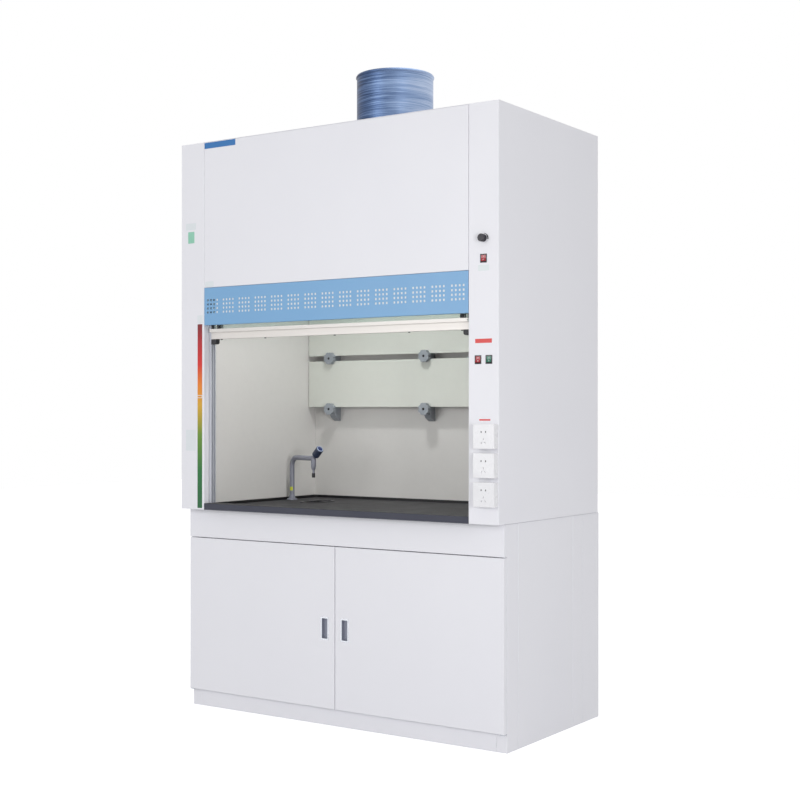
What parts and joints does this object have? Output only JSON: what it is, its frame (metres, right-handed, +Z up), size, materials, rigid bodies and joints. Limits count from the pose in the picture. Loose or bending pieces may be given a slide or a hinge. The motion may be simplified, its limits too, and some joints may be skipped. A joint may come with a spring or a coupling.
{
  "type": "fume hood",
  "caption": "Ducted fume hood on a base cabinet with doors, with a counterweighted glass sash, bypass grille, baffles, cup sink and tap.",
  "frame": {"origin": "on the floor, at the middle of the whole object's outline seen from above", "axes": "+X to the right seen from the front, +Y from the front to the back, +Z up"},
  "size_m": [1.5, 0.83, 2.572],
  "materials": {
    "painted_steel": "white epoxy powder coat, fine orange peel",
    "grille_blue": "blue epoxy powder coat",
    "liner_board": "satin compact laminate",
    "worktop_board": "charcoal chemical-resistant laminate",
    "sink_plastic": "moulded polypropylene",
    "lamp_diffuser": "clear toughened glass",
    "lamp_tube": "white-coated lamp tube",
    "track_aluminium": "anodised extrusion",
    "rail_aluminium": "satin anodised extrusion",
    "sash_glass": "clear toughened glass",
    "black_rubber": "moulded black rubber",
    "pulley_nylon": "turned nylon",
    "bracket_steel": "zinc-plated steel",
    "cable_steel": "stranded steel wire",
    "weight_steel": "bare flat steel bar",
    "duct_steel": "circumferentially brushed sheet",
    "tap_coating": "grey epoxy-coated brass",
    "tap_handle": "dark slate moulding",
    "pipe_steel": "drawn stainless tube",
    "trap_plastic": "moulded polypropylene",
    "socket_white": "white moulding",
    "bezel_black": "black moulding",
    "dial_black": "black moulding",
    "rocker_red": "translucent red moulding",
    "rocker_green": "translucent green moulding",
    "baffle_board": "satin compact laminate",
    "knob_grey": "grey moulding",
    "bracket_grey": "grey moulding",
    "pull_metal": "die-cast zinc, satin chrome",
    "foot_steel": "zinc-plated steel"
  },
  "bodies": {
    "hood": {"side_shell_left": "painted_steel", "side_shell_right": "painted_steel", "hood_back": "painted_steel", "hood_roof": "painted_steel", "front_panel": "painted_steel", "bypass_grille": "grille_blue", "liner_sides": "liner_board", "liner_back": "liner_board", "liner_ceiling": "liner_board", "lamp_window": "lamp_diffuser", "lamp_housing": "painted_steel", "lamp_tubes": "lamp_tube", "worktop": "worktop_board", "cup_sink": "sink_plastic", "baffle_middle": "baffle_board", "baffle_upper": "baffle_board", "sash_tracks": "track_aluminium", "pulley_brackets": "bracket_steel", "cable_top_runs": "cable_steel", "duct_collar": "duct_steel", "tap_body": "tap_coating", "supply_pipe": "pipe_steel", "waste_trap": "trap_plastic", "wall_sockets": "socket_white", "control_bezels": "bezel_black", "base_posts": "painted_steel", "base_side_panels": "painted_steel", "base_rear_panels": "painted_steel", "base_back": "painted_steel", "base_floor": "painted_steel", "base_top_frame": "painted_steel", "apron": "painted_steel", "plinth": "painted_steel", "levelling_feet": "foot_steel", "door_pivots": "bracket_steel", "baffle_brackets": "bracket_grey"},
    "sash": {"sash_glass": "sash_glass", "sash_rail": "rail_aluminium", "sash_guides": "black_rubber", "cable_front_runs": "cable_steel"},
    "balance_weight": {"counterweight": "weight_steel", "cable_rear_runs": "cable_steel"},
    "left_front_pulley": {"front_pulley_left": "pulley_nylon"},
    "right_front_pulley": {"front_pulley_right": "pulley_nylon"},
    "rear_shaft": {"rear_pulley_shaft": "bracket_steel"},
    "left_door": {"door_left": "painted_steel", "handle_left": "pull_metal"},
    "right_door": {"door_right": "painted_steel", "handle_right": "pull_metal"},
    "speed_dial": {"speed_knob": "dial_black"},
    "fan_switch": {"fan_rocker": "rocker_red"},
    "lamp_switch": {"lamp_rocker": "rocker_red"},
    "socket_switch": {"socket_rocker": "rocker_green"},
    "water_handle": {"tap_handle": "tap_handle"},
    "knob_lower_left": {"baffle_knob_lower_left": "knob_grey"},
    "knob_lower_middle": {"baffle_knob_lower_middle": "knob_grey"},
    "knob_lower_right": {"baffle_knob_lower_right": "knob_grey"},
    "knob_upper_left": {"baffle_knob_upper_left": "knob_grey"},
    "knob_upper_middle": {"baffle_knob_upper_middle": "knob_grey"},
    "knob_upper_right": {"baffle_knob_upper_right": "knob_grey"}
  },
  "joints": [
    {"name": "sash_lift", "type": "slide", "parent": "hood", "child": "sash", "axis": [0, 0, 1], "range_m": [-0.6445, 0.015], "deforming": ["cable_front_runs"]},
    {"name": "weight_slide", "type": "slide", "parent": "hood", "child": "balance_weight", "axis": [0, 0, 1], "range_m": [-0.015, 0.6445], "deforming": ["cable_rear_runs"]},
    {"name": "left_front_pulley_turn", "type": "hinge", "parent": "hood", "child": "left_front_pulley", "pos_m": [-0.578, -0.31, 2.24], "axis": [1, 0, 0], "continuous": true},
    {"name": "right_front_pulley_turn", "type": "hinge", "parent": "hood", "child": "right_front_pulley", "pos_m": [0.578, -0.31, 2.24], "axis": [1, 0, 0], "continuous": true},
    {"name": "rear_shaft_turn", "type": "hinge", "parent": "hood", "child": "rear_shaft", "pos_m": [0, 0.3527, 2.24], "axis": [1, 0, 0], "continuous": true},
    {"name": "left_door_hinge", "type": "hinge", "parent": "hood", "child": "left_door", "pos_m": [-0.7395, -0.3275, 0.0695], "axis": [0, 0, 1], "range_deg": [-110, 0]},
    {"name": "right_door_hinge", "type": "hinge", "parent": "hood", "child": "right_door", "pos_m": [0.7395, -0.3275, 0.0695], "axis": [0, 0, 1], "range_deg": [0, 110]},
    {"name": "speed_dial_turn", "type": "hinge", "parent": "hood", "child": "speed_dial", "pos_m": [0.688, -0.385, 1.82], "axis": [0, -1, 0], "range_deg": [-140, 140]},
    {"name": "fan_switch_rock", "type": "hinge", "parent": "hood", "child": "fan_switch", "pos_m": [0.688, -0.38, 1.749], "axis": [1, 0, 0], "range_deg": [0, 16]},
    {"name": "lamp_switch_rock", "type": "hinge", "parent": "hood", "child": "lamp_switch", "pos_m": [0.66575, -0.38, 1.3925], "axis": [1, 0, 0], "range_deg": [0, 16]},
    {"name": "socket_switch_rock", "type": "hinge", "parent": "hood", "child": "socket_switch", "pos_m": [0.71025, -0.38, 1.3925], "axis": [1, 0, 0], "range_deg": [0, 16]},
    {"name": "water_handle_turn", "type": "hinge", "parent": "hood", "child": "water_handle", "pos_m": [-0.42322, 0.07658, 1.011], "axis": [0.7279, -0.2387, 0.6428], "range_deg": [0, 180]},
    {"name": "knob_lower_left_turn", "type": "hinge", "parent": "hood", "child": "knob_lower_left", "pos_m": [-0.498, 0.3, 1.221], "axis": [0, -1, 0], "continuous": true},
    {"name": "knob_lower_middle_turn", "type": "hinge", "parent": "hood", "child": "knob_lower_middle", "pos_m": [0, 0.3, 1.221], "axis": [0, -1, 0], "continuous": true},
    {"name": "knob_lower_right_turn", "type": "hinge", "parent": "hood", "child": "knob_lower_right", "pos_m": [0.498, 0.3, 1.221], "axis": [0, -1, 0], "continuous": true},
    {"name": "knob_upper_left_turn", "type": "hinge", "parent": "hood", "child": "knob_upper_left", "pos_m": [-0.498, 0.3, 1.4435], "axis": [0, -1, 0], "continuous": true},
    {"name": "knob_upper_middle_turn", "type": "hinge", "parent": "hood", "child": "knob_upper_middle", "pos_m": [0, 0.3, 1.4435], "axis": [0, -1, 0], "continuous": true},
    {"name": "knob_upper_right_turn", "type": "hinge", "parent": "hood", "child": "knob_upper_right", "pos_m": [0.498, 0.3, 1.4435], "axis": [0, -1, 0], "continuous": true}
  ],
  "couplings": [
    {"joint": "weight_slide", "follows": "sash_lift", "ratio": -1},
    {"joint": "left_front_pulley_turn", "follows": "sash_lift", "rad_per_m": -40},
    {"joint": "right_front_pulley_turn", "follows": "sash_lift", "rad_per_m": -40},
    {"joint": "rear_shaft_turn", "follows": "sash_lift", "rad_per_m": -40}
  ]
}
